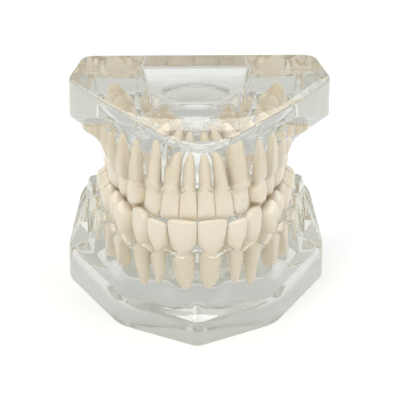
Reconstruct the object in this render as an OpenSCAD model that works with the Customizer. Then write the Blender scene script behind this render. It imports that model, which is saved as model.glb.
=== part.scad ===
// Clear two-jaw typodont, adult dentition, standing on its maxillary foot.
// Millimetres. +Z up, -Y is the front (labial) side, X = 0 is the midline,
// Z = 0 is the maxillary foot.
// The maxilla is the lower piece and the mandible rests on it in occlusion.

/* [Overall] */
// Height from the maxillary foot to the mandibular foot
total_h = 64; // [62.5:0.5:68]
// Half width across the side corners of both bases
side_x = 37.3; // [36:0.1:38.5]
// Y of the side corners
side_y = 12.6; // [11:0.1:14]
// Half width across the back corners
back_x = 33; // [32:0.1:34.5]
// Y of the back face of both bases
back_y = 28.8; // [28:0.1:30]
// Y of the front point of both bases
front_y = -28.8; // [-30:0.1:-28]

/* [Maxillary base] */
// X of the front corners of the maxillary foot
max_corner_x = 22.4; // [21:0.1:24]
// Y of the front corners of the maxillary foot
max_corner_y = -16.4; // [-17.5:0.1:-15]
// Height of the trimmed wall at the front
max_wall_front = 7.5; // [7:0.1:11]
// Height of the trimmed wall at the side corners
max_wall_side = 8.7; // [8:0.1:11]
// Height of the trimmed wall at the back corners
max_wall_back = 21.7; // [19:0.1:22.5]
// Height of the gum margin at the front teeth
max_margin_front = 28.3; // [27.5:0.1:28.6]
// Height of the gum margin at the second molars
max_margin_back = 26.2; // [25.5:0.1:26.6]
// Height of the floor of the palatal vault
palate_z = 15.5; // [14:0.1:18]

/* [Mandibular base] */
// X of the blunt front corners of the mandibular foot
man_corner_x = 22; // [21:0.1:23]
// Y of the blunt front corners of the mandibular foot
man_corner_y = -9.8; // [-11:0.1:-9]
// Offset of the trimmed mandibular foot to the right of the midline
man_trim_x = 1; // [0:0.1:1]
// Depth of the wall at the front point
man_wall_front = 2.8; // [2:0.1:4]
// Depth of the wall at the side corners
man_wall_side = 11.4; // [9:0.1:12]
// Depth of the gum margin below the foot at the front teeth
man_margin_front = 18.2; // [17.9:0.1:18.6]
// Depth of the gum margin below the foot at the second molars
man_margin_back = 24.6; // [24:0.1:25]
// Depth of the floor of the lingual vault below the foot
lingual_floor = 11.4; // [10.5:0.1:12.5]

/* [Maxillary teeth, central incisor to second molar] */
// Crown height
up_crown = [10.3, 9.2, 10, 8.5, 8.1, 7.6, 7.1]; // [6.5:0.1:10.5]
// Root length
up_root = [14, 13, 15.3, 13, 13, 12, 11.5]; // [10:0.1:15.5]
// Mesiodistal crown width
up_width = [8.4, 6.5, 7.5, 7, 6.9, 10, 9.1]; // [5:0.1:10.2]
// Mesiodistal width at the neck
up_neck_width = [6.6, 5, 5.6, 5, 4.9, 7.8, 7.1]; // [4:0.1:8]
// Labiolingual crown depth
up_depth = [7, 6, 8, 9, 9, 11, 10.8]; // [5.5:0.1:11]
// Labiolingual depth at the neck
up_neck_depth = [6.1, 5.2, 7.2, 8, 8, 9.8, 9.6]; // [5:0.1:10]
// Height of the incisal edge or cusp tip above the maxillary foot
up_edge_z = [37.8, 36.4, 37, 36.3, 35.6, 34.8, 33.7]; // [33:0.1:38]
// Outward lean of the long axis in degrees
up_lean = [9, 9, 6, 3, 2, 1, 1]; // [0:0.5:10]
// Mesial tip of the long axis in degrees
up_tip = [0, 2, 3, 2, 1.5, 1, 0.5]; // [0:0.5:3]

/* [Mandibular teeth, central incisor to second molar] */
// Crown height
lo_crown = [10, 10, 10.8, 8.8, 8.2, 7.6, 7.2]; // [6.5:0.1:11]
// Root length
lo_root = [10.5, 11.3, 13.5, 13, 13, 12.3, 12]; // [10:0.1:13.6]
// Mesiodistal crown width
lo_width = [5, 5.6, 7, 7, 7, 10.9, 10.2]; // [4.5:0.1:11]
// Mesiodistal width at the neck
lo_neck_width = [3.7, 4.1, 5.3, 5, 5.1, 8.7, 8.2]; // [3.2:0.1:9]
// Labiolingual crown depth
lo_depth = [5.9, 6.1, 7.5, 7.7, 8, 10.2, 9.8]; // [5.5:0.1:10.5]
// Labiolingual depth at the neck
lo_neck_depth = [5.2, 5.5, 6.8, 6.7, 7, 9, 8.8]; // [5:0.1:9.2]
// Height of the incisal edge or buccal cusp tip above the maxillary foot
lo_edge_z = [36.7, 36.4, 35.4, 34.7, 34.2, 33.6, 32.7]; // [31:0.1:37]
// Outward lean of the long axis in degrees
lo_lean = [19, 18, 12, 4, 0, -4, -5]; // [-8:0.5:20]
// Mesial tip of the long axis in degrees
lo_tip = [0, 1, 3, 2.5, 2, 1, 0]; // [0:0.5:3]

/* [Fits] */
// Air gap between a tooth and the wall of its socket
socket_gap = 0.12; // [0.08:0.01:0.15]
// Gap between neighbouring crowns at the contact point
contact_gap = 0.14; // [0.12:0.01:0.2]

/* [Hidden] */
NODES = ["maxillary_base", "mandibular_base",
    "maxillary_right_central_incisor", "maxillary_right_lateral_incisor",
    "maxillary_right_canine", "maxillary_right_first_premolar",
    "maxillary_right_second_premolar", "maxillary_right_first_molar",
    "maxillary_right_second_molar",
    "maxillary_left_central_incisor", "maxillary_left_lateral_incisor",
    "maxillary_left_canine", "maxillary_left_first_premolar",
    "maxillary_left_second_premolar", "maxillary_left_first_molar",
    "maxillary_left_second_molar",
    "mandibular_right_central_incisor", "mandibular_right_lateral_incisor",
    "mandibular_right_canine", "mandibular_right_first_premolar",
    "mandibular_right_second_premolar", "mandibular_right_first_molar",
    "mandibular_right_second_molar",
    "mandibular_left_central_incisor", "mandibular_left_lateral_incisor",
    "mandibular_left_canine", "mandibular_left_first_premolar",
    "mandibular_left_second_premolar", "mandibular_left_first_molar",
    "mandibular_left_second_molar"];
node = "all";

resin_clear = [0.86, 0.89, 0.88, 0.35];
ivory = [0.93, 0.88, 0.79];

// A tooth is found by jaw (MAX or MAN) and pos, 0 for the central incisor to 6 for the
// second molar. Lists of two hold the maxillary value, then the mandibular one.
MAX = 0;
MAN = 1;
RIGHT = 1;
LEFT = -1;
INCISOR = 0;
CANINE = 1;
PREMOLAR = 2;
MOLAR = 3;
kind = [INCISOR, INCISOR, CANINE, PREMOLAR, PREMOLAR, MOLAR, MOLAR];
function is_front(pos) = kind[pos] < PREMOLAR;
function is_molar(pos) = kind[pos] == MOLAR;

crown = [up_crown, lo_crown];
root = [up_root, lo_root];
width = [up_width, lo_width];
neck_width = [up_neck_width, lo_neck_width];
depth = [up_depth, lo_depth];
neck_depth = [up_neck_depth, lo_neck_depth];
edge_z = [up_edge_z, lo_edge_z];
lean = [up_lean, lo_lean];
tip = [up_tip, lo_tip];
crown_dir = [1, -1];        // direction a crown points, along Z
foot_z = [0, total_h];

// ---- helpers ----
function between(a, b, share) = a + (b - a) * share;
function sum_first(list, count) =
    count <= 0 ? 0 : list[count - 1] + sum_first(list, count - 1);
function mean_point(ring) =
    [for (k = [0:2]) sum_first([for (p = ring) p[k]], len(ring)) / len(ring)];

// Skin of a stack of rings. The low and high ends each close on a point.
module stack(rings, low, high, flip) {
    count = len(rings[0]);
    last = len(rings) - 1;
    low_index = len(rings) * count;
    points = concat([for (ring = rings) each ring], [low, high]);
    sides = [for (r = [0:last - 1]) for (k = [0:count - 1])
        let (a = r * count, b = a + count, next = (k + 1) % count)
        each [[a + k, b + k, b + next], [a + k, b + next, a + next]]];
    low_end = [for (k = [0:count - 1]) [low_index, k, (k + 1) % count]];
    high_end = [for (k = [0:count - 1])
        [low_index + 1, last * count + (k + 1) % count, last * count + k]];
    faces = concat(sides, low_end, high_end);
    polyhedron(
        points = points,
        faces = flip ? [for (f = faces) [f[2], f[1], f[0]]] : faces,
        convexity = 6);
}

// ---- arch lines ----
arch_y0 = [-23.3, -21.3];   // Y where each arch line crosses the midline
// [distance along the arch line from the midline, its direction in degrees from +X]
arch_turn = [
    [[0, 0], [4.2, 11], [8.4, 23], [11.7, 34], [14.9, 45], [18.7, 57], [22.4, 67],
     [26, 74], [33, 79], [41.4, 81], [56, 83], [66, 83]],
    [[0, 0], [2.5, 5], [5, 13], [8, 27], [10.7, 38], [14.2, 52], [17.7, 62],
     [21.2, 69], [28, 76], [36, 80], [53.5, 83], [66, 83]]];
walk_step = 0.5;
walk_count = 130;
// Each line is walked in short steps, as [distance, x, y]
walk = [for (jaw = [MAX, MAN])
    [for (i = 0, a = 0, x = 0, y = arch_y0[jaw];
        i <= walk_count;
        a = lookup((i + 0.5) * walk_step, arch_turn[jaw]),
        x = x + walk_step * cos(a),
        y = y + walk_step * sin(a),
        i = i + 1)
        [i * walk_step, x, y]]];
walk_x = [for (line = walk) [for (p = line) [p[0], p[1]]]];
walk_y = [for (line = walk) [for (p = line) [p[0], p[2]]]];
function heading(jaw, dist) = lookup(dist, arch_turn[jaw]);
// Point on the +X side, "out" from the arch line toward the lips and cheeks
function beside_arch(jaw, dist, out) =
    let (a = heading(jaw, dist))
    [lookup(dist, walk_x[jaw]) + out * sin(a), lookup(dist, walk_y[jaw]) - out * cos(a)];

// Distance along the arch line to the middle of a tooth
function station(jaw, pos) =
    sum_first(width[jaw], pos) + width[jaw][pos] / 2 + contact_gap * (pos + 0.5);
arch_end = [for (jaw = [MAX, MAN]) station(jaw, 6) + width[jaw][6] / 2];

// ---- tooth outline, in its own frame: u distal, v labial, w occlusal from the neck ----
// [share of the root length from the neck, share of the neck's size]
root_fade = [[0, 1], [0.15, 0.97], [0.35, 0.88], [0.55, 0.74], [0.75, 0.54], [0.9, 0.32],
    [1, 0.1]];
root_levels = [1, 0.9, 0.75, 0.55, 0.35, 0.15];
root_point = 0.15;          // the root closes on a point this far past its last ring

// A molar has a short trunk below the neck, which its roots run out of
trunk_depths = [3.2, 1.6];
trunk_fade = 0.028;         // loss of size per mm below the neck

// [crown height share, share of the widening from neck to contact]
flare_front = [[0, 0], [0.12, 0.25], [0.3, 0.58], [0.5, 0.84], [0.7, 0.98], [0.82, 1],
    [0.94, 0.97], [1, 0.86]];
flare_back = [[0, 0], [0.15, 0.4], [0.35, 0.8], [0.55, 1], [1, 1]];
canine_taper_from = 0.7;    // crown height share where the canine starts to narrow
canine_taper = 2.4;
// [crown height share, share of half the crown's depth], for incisor and canine
thickness = [
    [[0, 0.87], [0.12, 1], [0.3, 0.9], [0.5, 0.7], [0.7, 0.47], [0.86, 0.28],
     [0.96, 0.17], [1, 0.1]],
    [[0, 0.9], [0.12, 1], [0.3, 0.96], [0.5, 0.82], [0.7, 0.58], [0.86, 0.33],
     [0.96, 0.15], [1, 0.06]]];
// [crown height share, step of the labial face from its neck position]
face_step = [[0, 0], [0.12, 0.25], [0.3, 0.35], [0.5, 0.2], [0.7, -0.2], [0.86, -0.65],
    [1, -1.3]];
edge_inset = 0.4;           // from the labial face back to the incisal edge

front_levels = [0, 0.12, 0.3, 0.5, 0.7, 0.86, 0.97];
back_levels = [0, 0.15, 0.35, 0.52];
table_rings = [0.97, 0.84, 0.64, 0.4, 0.18];    // rings of a chewing surface, by size
socket_front_levels = [0, 0.12, 0.3];
socket_back_levels = [0, 0.15, 0.35];
socket_above = 4;           // the socket cutter runs this far past the crown

// Cusps as [u, v, height share], u and v in shares of the half sizes. Front teeth have none.
cusps = [
    [[], [], [],
     [[0, 0.48, 1], [0, -0.5, 0.96]],
     [[0, 0.46, 1], [0, -0.48, 0.97]],
     [[-0.45, 0.5, 1], [0.42, 0.48, 0.97], [-0.38, -0.46, 0.99], [0.48, -0.46, 0.93]],
     [[-0.42, 0.48, 1], [0.42, 0.46, 0.96], [-0.34, -0.44, 0.98], [0.45, -0.44, 0.9]]],
    [[], [], [],
     [[0, 0.34, 1], [-0.1, -0.5, 0.84]],
     [[0, 0.4, 1], [-0.25, -0.48, 0.95]],
     [[-0.55, 0.42, 0.98], [0.02, 0.45, 1], [0.55, 0.36, 0.95], [-0.42, -0.5, 1],
      [0.4, -0.5, 0.99]],
     [[-0.44, 0.44, 0.98], [0.42, 0.44, 0.97], [-0.42, -0.48, 1], [0.42, -0.48, 0.98]]]];
// Height share of the hollow between the cusps
function fossa(pos) = is_molar(pos) ? 0.62 : 0.7;
function cusp_height(jaw, pos, u, v) =
    let (low = fossa(pos), spread = is_molar(pos) ? 0.4 : 0.5)
    max([for (c = cusps[jaw][pos])
        low + (c[2] - low) * exp(-(pow(u - c[0], 2) + pow(v - c[1], 2)) / pow(spread, 2))]);
// Upper limit of the chewing surface, falling toward its rim
function dome(size) = 1 - 0.4 * pow(size, 6);

// One ring: a superellipse, narrowed on the lingual side
lingual_taper = [0.3, 0.28, 0.14, 0.06];        // by kind
molar_power = 2.8;
premolar_power = 2.3;
function oval(pos, half_u, half_v, power, centre_v, w) =
    let (count = is_molar(pos) ? 16 : 12)
    [for (k = [0:count - 1]) let (
        a = 360 * (k + 0.5) / count,
        c = cos(a),
        s = sin(a),
        q = pow(pow(abs(c), power) + pow(abs(s), power), -1 / power))
        [half_u * q * c * (1 + min(0, s * lingual_taper[kind[pos]])),
         centre_v + half_v * q * s, w]];

// Rings below the neck, from the lowest up. A gap grows them into the socket's.
function neck_ring(jaw, pos, share, power, w, gap) =
    oval(pos, neck_width[jaw][pos] / 2 * share + gap, neck_depth[jaw][pos] / 2 * share + gap,
        power, 0, w);
function root_rings(jaw, pos, gap) =
    [for (t = root_levels)
        neck_ring(jaw, pos, lookup(t, root_fade), 2,
            -t * root[jaw][pos] - (t == 1 ? gap : 0), gap)];
function trunk_rings(jaw, pos, gap) =
    [for (d = trunk_depths)
        neck_ring(jaw, pos, 1 - trunk_fade * d, molar_power,
            -d - (d == trunk_depths[0] ? gap : 0), gap)];
function lower_rings(jaw, pos, gap) =
    is_molar(pos) ? trunk_rings(jaw, pos, gap) : root_rings(jaw, pos, gap);

// Rings of the crown, at a share of its height
function front_ring(jaw, pos, level, gap) = let (
    taper = kind[pos] == CANINE && level > canine_taper_from
        ? 1 - (level - canine_taper_from) * canine_taper : 1,
    flare = lookup(level, flare_front) * taper,
    half_u = between(neck_width[jaw][pos], width[jaw][pos], flare) / 2,
    half_v = depth[jaw][pos] / 2 * lookup(level, thickness[kind[pos]]),
    centre_v = neck_depth[jaw][pos] / 2 + lookup(level, face_step) - half_v)
    oval(pos, half_u + gap, half_v + gap, 2 + 0.8 * level, centre_v, level * crown[jaw][pos]);
function back_ring(jaw, pos, level, gap) = let (
    flare = lookup(level, flare_back),
    half_u = between(neck_width[jaw][pos], width[jaw][pos], flare) / 2,
    half_v = between(neck_depth[jaw][pos], depth[jaw][pos], flare) / 2)
    oval(pos, half_u + gap, half_v + gap, is_molar(pos) ? molar_power : premolar_power,
        0, level * crown[jaw][pos]);
function crown_ring(jaw, pos, level, gap) =
    is_front(pos) ? front_ring(jaw, pos, level, gap) : back_ring(jaw, pos, level, gap);
function table_ring(jaw, pos, size) =
    [for (p = back_ring(jaw, pos, 1, 0)) let (
        u = p[0] * size,
        v = p[1] * size,
        cusp = cusp_height(jaw, pos, u / width[jaw][pos] * 2, v / depth[jaw][pos] * 2))
        [u, v, crown[jaw][pos] * min(dome(size), cusp)]];

function tooth_rings(jaw, pos) = concat(
    lower_rings(jaw, pos, 0),
    [for (f = is_front(pos) ? front_levels : back_levels) crown_ring(jaw, pos, f, 0)],
    is_front(pos) ? [] : [for (q = table_rings) table_ring(jaw, pos, q)]);
// The last ring of a socket is spread and lifted clear of the crown
function socket_rings(jaw, pos) = let (
    front = is_front(pos),
    spread = front ? [1.6, 1.3] : [1.1, 1.1],
    mouth = crown_ring(jaw, pos, front ? 0.3 : 0.55, socket_gap))
    concat(
        lower_rings(jaw, pos, socket_gap),
        [for (f = front ? socket_front_levels : socket_back_levels)
            crown_ring(jaw, pos, f, socket_gap)],
        [[for (p = mouth)
            [p[0] * spread[0], p[1] * spread[1], crown[jaw][pos] + socket_above]]]);

// ---- place of a tooth on the +X side: its axes u, v, w and its neck point ----
function axes(jaw, pos) = let (
    a = heading(jaw, station(jaw, pos)),
    along = [cos(a), sin(a), 0],
    out = [sin(a), -cos(a), 0],
    up = [0, 0, crown_dir[jaw]],
    leaned_out = out * cos(lean[jaw][pos]) - up * sin(lean[jaw][pos]),
    leaned_up = out * sin(lean[jaw][pos]) + up * cos(lean[jaw][pos]),
    t = tip[jaw][pos])
    [along * cos(t) + leaned_up * sin(t), leaned_out, leaned_up * cos(t) - along * sin(t)];
function edge_v(jaw, pos) =
    is_front(pos) ? neck_depth[jaw][pos] / 2 + lookup(1, face_step) - edge_inset : 0;
function neck_at(jaw, pos) =
    let (axis = axes(jaw, pos), p = beside_arch(jaw, station(jaw, pos), 0))
    [p[0], p[1], edge_z[jaw][pos]] - axis[1] * edge_v(jaw, pos) - axis[2] * crown[jaw][pos];
function place(jaw, pos, p) =
    let (axis = axes(jaw, pos))
    neck_at(jaw, pos) + axis[0] * p[0] + axis[1] * p[1] + axis[2] * p[2];

function low_point(jaw, pos, rings, gap) =
    is_molar(pos) ? mean_point(rings[0]) : [0, 0, -root[jaw][pos] - root_point - gap * 1.5];

module tooth_skin(jaw, pos, rings, low, high)
    stack([for (r = rings) [for (p = r) place(jaw, pos, p)]],
        place(jaw, pos, low), place(jaw, pos, high), jaw == MAX);

// ---- molar roots ----
// [u, v, radius] of each root at the trunk
function molar_roots(jaw, pos) =
    let (u = neck_width[jaw][pos] / 2, v = neck_depth[jaw][pos] / 2)
    jaw == MAX
    ? [[-0.47 * u, 0.5 * v, 0.44 * u], [0.47 * u, 0.48 * v, 0.42 * u], [0, -0.44 * v, 0.5 * u]]
    : [[-0.5 * u, 0, 0.42 * u], [0.5 * u, 0, 0.42 * u]];
// [share of the root length, share of the radius]
root_steps = [[0.1, 1], [0.4, 0.88], [0.66, 0.7], [0.86, 0.46], [1, 0.2]];
root_splay = 0.75;          // outward shift, per mm of radius lost
root_broad = [1, 1.75];     // the lower molar's roots are broad, flat blades
disc_h = 0.05;

module root_disc(jaw, pos, base_disc, step, gap) {
    last = len(root_steps) - 1;
    radius = base_disc[2] * root_steps[step][1];
    from_axis = norm([base_disc[0], base_disc[1]]);
    spread = 1 + base_disc[2] * (1 - root_steps[step][1]) * root_splay / from_axis;
    w = -root_steps[step][0] * root[jaw][pos] - (step == last ? gap : 0);
    translate([base_disc[0] * spread, base_disc[1] * spread, w])
        scale([1, (radius * root_broad[jaw] + gap) / (radius + gap), 1])
            cylinder(h = disc_h, r = radius + gap, $fn = 10);
}

module molar_roots_solid(jaw, pos, gap) {
    axis = axes(jaw, pos);
    neck = neck_at(jaw, pos);
    multmatrix([for (r = [0:2]) [axis[0][r], axis[1][r], axis[2][r], neck[r]]])
        for (disc = molar_roots(jaw, pos))
            for (k = [0:len(root_steps) - 2])
                hull() {
                    root_disc(jaw, pos, disc, k, gap);
                    root_disc(jaw, pos, disc, k + 1, gap);
                }
}

// ---- tooth and socket ----
module tooth(jaw, pos, side) color(ivory) mirror([side < 0 ? 1 : 0, 0, 0]) {
    rings = tooth_rings(jaw, pos);
    height = crown[jaw][pos];
    low = low_point(jaw, pos, rings, 0);
    high = is_front(pos)
        ? mean_point(rings[len(rings) - 1]) + [0, 0, height * 0.025]
        : [0, 0, height * fossa(pos)];
    if (is_molar(pos)) union() {
        tooth_skin(jaw, pos, rings, low, high);
        molar_roots_solid(jaw, pos, 0);
    }
    else tooth_skin(jaw, pos, rings, low, high);
}

module socket(jaw, pos) {
    rings = socket_rings(jaw, pos);
    tooth_skin(jaw, pos, rings, low_point(jaw, pos, rings, socket_gap),
        mean_point(rings[len(rings) - 1]));
    if (is_molar(pos)) molar_roots_solid(jaw, pos, socket_gap);
}

// ---- base block ----
side_out = 0.45;            // outline corners stand this far beyond side_x and back_x
back_out = 0.4;
side_cut = 3.4;
back_cut = 3;

function unit(a, b) = (b - a) / norm(b - a);
// Outline with its corners rounded in three steps. Each corner is [x, y, cut].
function rounded(corners, steps = 3) =
    let (count = len(corners), xy = [for (c = corners) [c[0], c[1]]])
    [for (k = [0:count - 1]) let (
        p = xy[k],
        start = p + unit(p, xy[(k + count - 1) % count]) * corners[k][2],
        end = p + unit(p, xy[(k + 1) % count]) * corners[k][2])
        for (t = [0:steps]) let (q = t / steps)
            start * pow(1 - q, 2) + p * 2 * q * (1 - q) + end * q * q];
function base_outline(front_out, front_cut, corner_x, corner_y, corner_cut) = rounded([
    [0, front_y - front_out, front_cut],
    [corner_x, corner_y, corner_cut],
    [side_x + side_out, side_y, side_cut],
    [back_x + back_out, back_y, back_cut],
    [-back_x - back_out, back_y, back_cut],
    [-side_x - side_out, side_y, side_cut],
    [-corner_x, corner_y, corner_cut]]);
outline = [
    base_outline(0.3, 1.6, max_corner_x, max_corner_y, 3),
    [for (p = base_outline(2.2, 7, man_corner_x, man_corner_y, 9)) p + [man_trim_x, 0]]];

// Pulls a point toward both axes, by less where it is within 20 of one
function inset(p, dist) = [for (k = [0, 1]) p[k] - sign(p[k]) * dist * min(1, abs(p[k]) / 20)];
shrink_y = 8;
function shrink(p, share) = [p[0] * share, shrink_y + (p[1] - shrink_y) * share];

// [y, distance from the foot] of the wall's rim
wall = [
    [[front_y, max_wall_front], [max_corner_y, max_wall_front - 0.2],
     [side_y, max_wall_side], [back_y, max_wall_back]],
    [[front_y, man_wall_front], [-14, man_wall_front + 0.2], [-1.5, 5.4],
     [side_y, man_wall_side], [back_y, man_wall_side + 2.6]]];
// [y, distance from the foot] of the shoulder inside the rim
shoulder = [
    [[front_y, 13.2], [max_corner_y, 14.2], [0, 16.2], [side_y, 18], [back_y, 24.2]],
    [[front_y, 3.5], [-14, 4.3], [0, 9.5], [side_y, 16.5], [back_y, 19.5]]];
shoulder_size = [0.9, 0.82];
shoulder_back = 2;          // shift of the shoulder's back edge, behind y = 20
crest = [18, 14];           // distance from the foot to the block's closing point

module block(jaw) {
    edge = outline[jaw];
    z0 = foot_z[jaw];
    dir = crown_dir[jaw];
    foot = [for (p = edge) concat(inset(p, 0.5), z0)];
    foot_rim = [for (p = edge) [p[0], p[1], z0 + dir * 0.6]];
    below_rim = [for (p = edge) [p[0], p[1], z0 + dir * (lookup(p[1], wall[jaw]) - 0.5)]];
    rim = [for (p = edge) concat(inset(p, 0.6), z0 + dir * lookup(p[1], wall[jaw]))];
    inner = [for (p = edge)
        let (q = shrink(p, shoulder_size[jaw]))
        [q[0], q[1] + (p[1] > 20 ? shoulder_back : 0), z0 + dir * lookup(p[1], shoulder[jaw])]];
    stack([foot, foot_rim, below_rim, rim, inner],
        [0, 5, z0], [0, 5, z0 + dir * crest[jaw]], jaw == MAN);
}

// ---- gum ridge ----
// Section points run from the margin down the outer side, then up the inner side.
// Share of the height from ridge foot to margin
ridge_share = [1, 0.93, 0.6, 0.3, 0, 0, 0.5, 0.88, 1];
// Distance out from the arch line, at the midline and at the back teeth
ridge_front = [
    [0.6, 1.4, 1.4, 1.2, 1.2, -12, -7.8, -6.2, -4.8],
    [0.9, 1.6, 2.1, 2.6, 3, -14, -10, -8.6, -7.4]];
ridge_back = [
    [5.6, 6.5, 7.6, 9, 12, -12, -7.8, -6.7, -5.6],
    [5, 5.9, 7, 8.4, 12, -12, -7.6, -6.6, -5.4]];
// [distance along the arch, distance from the foot where the ridge starts], inside the block
ridge_foot = [
    [[0, 6], [70, 6]],
    [[0, 2.3], [18, 2.6], [22, 3], [24, 3.6], [28, 5.6], [34, 9], [40, 12], [48, 13.4],
     [70, 13.8]]];
ridge_past = 9;             // length of the ridge behind the last molar
ridge_count = 14;           // sections on each side of the midline
ridge_clip = [[5, 35], [30, total_h - 1.2]];    // lowest and highest z

// Height of the gum margin, sloping off behind the last molar
function margin_z(jaw, dist) =
    let (share = min(1, dist / arch_end[jaw]), past = dist - arch_end[jaw])
    jaw == MAX
    ? between(max_margin_front, max_margin_back, share) - 0.12 * max(0, past)
    : total_h - between(man_margin_front, man_margin_back, pow(share, 0.8))
        + 0.72 * max(0, past - 0.8);

function ridge_section(jaw, t) = let (
    dist = abs(t),
    side = t < 0 ? -1 : 1,
    blend = pow(min(1, dist / 34), 1.2),
    foot = foot_z[jaw] + crown_dir[jaw] * lookup(dist, ridge_foot[jaw]),
    margin = margin_z(jaw, dist))
    [for (k = [0:len(ridge_share) - 1]) let (
        out = between(ridge_front[jaw][k], ridge_back[jaw][k], blend),
        p = beside_arch(jaw, dist, out))
        [side * p[0], p[1], between(foot, margin, ridge_share[k])]];

module ridge(jaw) {
    last = arch_end[jaw] + ridge_past;
    sections = [for (k = [-ridge_count:ridge_count])
        ridge_section(jaw, last * k / ridge_count)];
    clip = ridge_clip[jaw];
    intersection() {
        stack(sections, mean_point(sections[0]), mean_point(sections[2 * ridge_count]),
            jaw == MAN);
        translate([0, 0, clip[0]])
            linear_extrude(clip[1] - clip[0])
                polygon([for (p = outline[jaw]) shrink(p, 0.993)]);
    }
}

// ---- vaults ----
lingual_z = total_h - lingual_floor;
// [distance along the arch, distance in from the arch line]
vault_in = [
    [[0, 6.2], [60, 6.2]],
    [[0, 8.8], [14, 8], [30, 6.4], [60, 6.2]]];
// [z, x scale, y scale in front of vault_y], from the floor to the open side
vault_levels = [
    [[palate_z, 0.44, 0.44], [palate_z + 1.4, 0.6, 0.6], [palate_z + 4.5, 0.79, 0.79],
     [palate_z + 8.5, 0.92, 0.92], [40, 1.06, 1.06]],
    [[lingual_z, 0.93, 0.52], [lingual_z - 1.4, 0.97, 0.62], [lingual_z - 5, 1, 0.8],
     [lingual_z - 9, 1.02, 0.93], [25, 1.04, 1.04]]];
vault_y = 12;
vault_back_scale = 1.05;    // y scale behind vault_y
vault_past = 16;            // length of the vault's edge behind the last molar
vault_count = 9;            // edge points on each side of the midline

// Hollow inside the arch, open at the back
module vault(jaw) {
    levels = vault_levels[jaw];
    edge = [for (k = [-vault_count:vault_count]) let (
        t = (arch_end[jaw] + vault_past) * k / vault_count,
        dist = abs(t),
        p = beside_arch(jaw, dist, -lookup(dist, vault_in[jaw])))
        [(t < 0 ? -1 : 1) * max(0, p[0]), p[1]]];
    rings = [for (q = levels) [for (p = edge)
        [p[0] * q[1],
         p[1] < vault_y ? vault_y + (p[1] - vault_y) * q[2] : p[1] * vault_back_scale,
         q[0]]]];
    stack(rings, [0, 14, levels[0][0]], [0, 14, levels[4][0]], jaw == MAN);
}

// Oval dimple in the floor of the lingual vault
module dimple()
    translate([0, 12.4, lingual_z])
        scale([9.6, 6.7, 4.4])
            rotate([0, 0, 9])
                sphere(1, $fn = 20);

module base(jaw) color(resin_clear) difference() {
    union() {
        block(jaw);
        ridge(jaw);
    }
    vault(jaw);
    if (jaw == MAN) dimple();
    for (pos = [0:6]) {
        socket(jaw, pos);
        mirror([1, 0, 0]) socket(jaw, pos);
    }
}

// ---- nodes ----
module maxillary_base() base(MAX);
module mandibular_base() base(MAN);

// The right side of the mouth is on +X, because the model stands on its maxilla and faces -Y.
module maxillary_right_central_incisor() tooth(MAX, 0, RIGHT);
module maxillary_right_lateral_incisor() tooth(MAX, 1, RIGHT);
module maxillary_right_canine() tooth(MAX, 2, RIGHT);
module maxillary_right_first_premolar() tooth(MAX, 3, RIGHT);
module maxillary_right_second_premolar() tooth(MAX, 4, RIGHT);
module maxillary_right_first_molar() tooth(MAX, 5, RIGHT);
module maxillary_right_second_molar() tooth(MAX, 6, RIGHT);
module maxillary_left_central_incisor() tooth(MAX, 0, LEFT);
module maxillary_left_lateral_incisor() tooth(MAX, 1, LEFT);
module maxillary_left_canine() tooth(MAX, 2, LEFT);
module maxillary_left_first_premolar() tooth(MAX, 3, LEFT);
module maxillary_left_second_premolar() tooth(MAX, 4, LEFT);
module maxillary_left_first_molar() tooth(MAX, 5, LEFT);
module maxillary_left_second_molar() tooth(MAX, 6, LEFT);
module mandibular_right_central_incisor() tooth(MAN, 0, RIGHT);
module mandibular_right_lateral_incisor() tooth(MAN, 1, RIGHT);
module mandibular_right_canine() tooth(MAN, 2, RIGHT);
module mandibular_right_first_premolar() tooth(MAN, 3, RIGHT);
module mandibular_right_second_premolar() tooth(MAN, 4, RIGHT);
module mandibular_right_first_molar() tooth(MAN, 5, RIGHT);
module mandibular_right_second_molar() tooth(MAN, 6, RIGHT);
module mandibular_left_central_incisor() tooth(MAN, 0, LEFT);
module mandibular_left_lateral_incisor() tooth(MAN, 1, LEFT);
module mandibular_left_canine() tooth(MAN, 2, LEFT);
module mandibular_left_first_premolar() tooth(MAN, 3, LEFT);
module mandibular_left_second_premolar() tooth(MAN, 4, LEFT);
module mandibular_left_first_molar() tooth(MAN, 5, LEFT);
module mandibular_left_second_molar() tooth(MAN, 6, LEFT);

function shown(name) = node == "all" || node == name;
if (shown("maxillary_base")) maxillary_base();
if (shown("mandibular_base")) mandibular_base();
if (shown("maxillary_right_central_incisor")) maxillary_right_central_incisor();
if (shown("maxillary_right_lateral_incisor")) maxillary_right_lateral_incisor();
if (shown("maxillary_right_canine")) maxillary_right_canine();
if (shown("maxillary_right_first_premolar")) maxillary_right_first_premolar();
if (shown("maxillary_right_second_premolar")) maxillary_right_second_premolar();
if (shown("maxillary_right_first_molar")) maxillary_right_first_molar();
if (shown("maxillary_right_second_molar")) maxillary_right_second_molar();
if (shown("maxillary_left_central_incisor")) maxillary_left_central_incisor();
if (shown("maxillary_left_lateral_incisor")) maxillary_left_lateral_incisor();
if (shown("maxillary_left_canine")) maxillary_left_canine();
if (shown("maxillary_left_first_premolar")) maxillary_left_first_premolar();
if (shown("maxillary_left_second_premolar")) maxillary_left_second_premolar();
if (shown("maxillary_left_first_molar")) maxillary_left_first_molar();
if (shown("maxillary_left_second_molar")) maxillary_left_second_molar();
if (shown("mandibular_right_central_incisor")) mandibular_right_central_incisor();
if (shown("mandibular_right_lateral_incisor")) mandibular_right_lateral_incisor();
if (shown("mandibular_right_canine")) mandibular_right_canine();
if (shown("mandibular_right_first_premolar")) mandibular_right_first_premolar();
if (shown("mandibular_right_second_premolar")) mandibular_right_second_premolar();
if (shown("mandibular_right_first_molar")) mandibular_right_first_molar();
if (shown("mandibular_right_second_molar")) mandibular_right_second_molar();
if (shown("mandibular_left_central_incisor")) mandibular_left_central_incisor();
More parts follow.
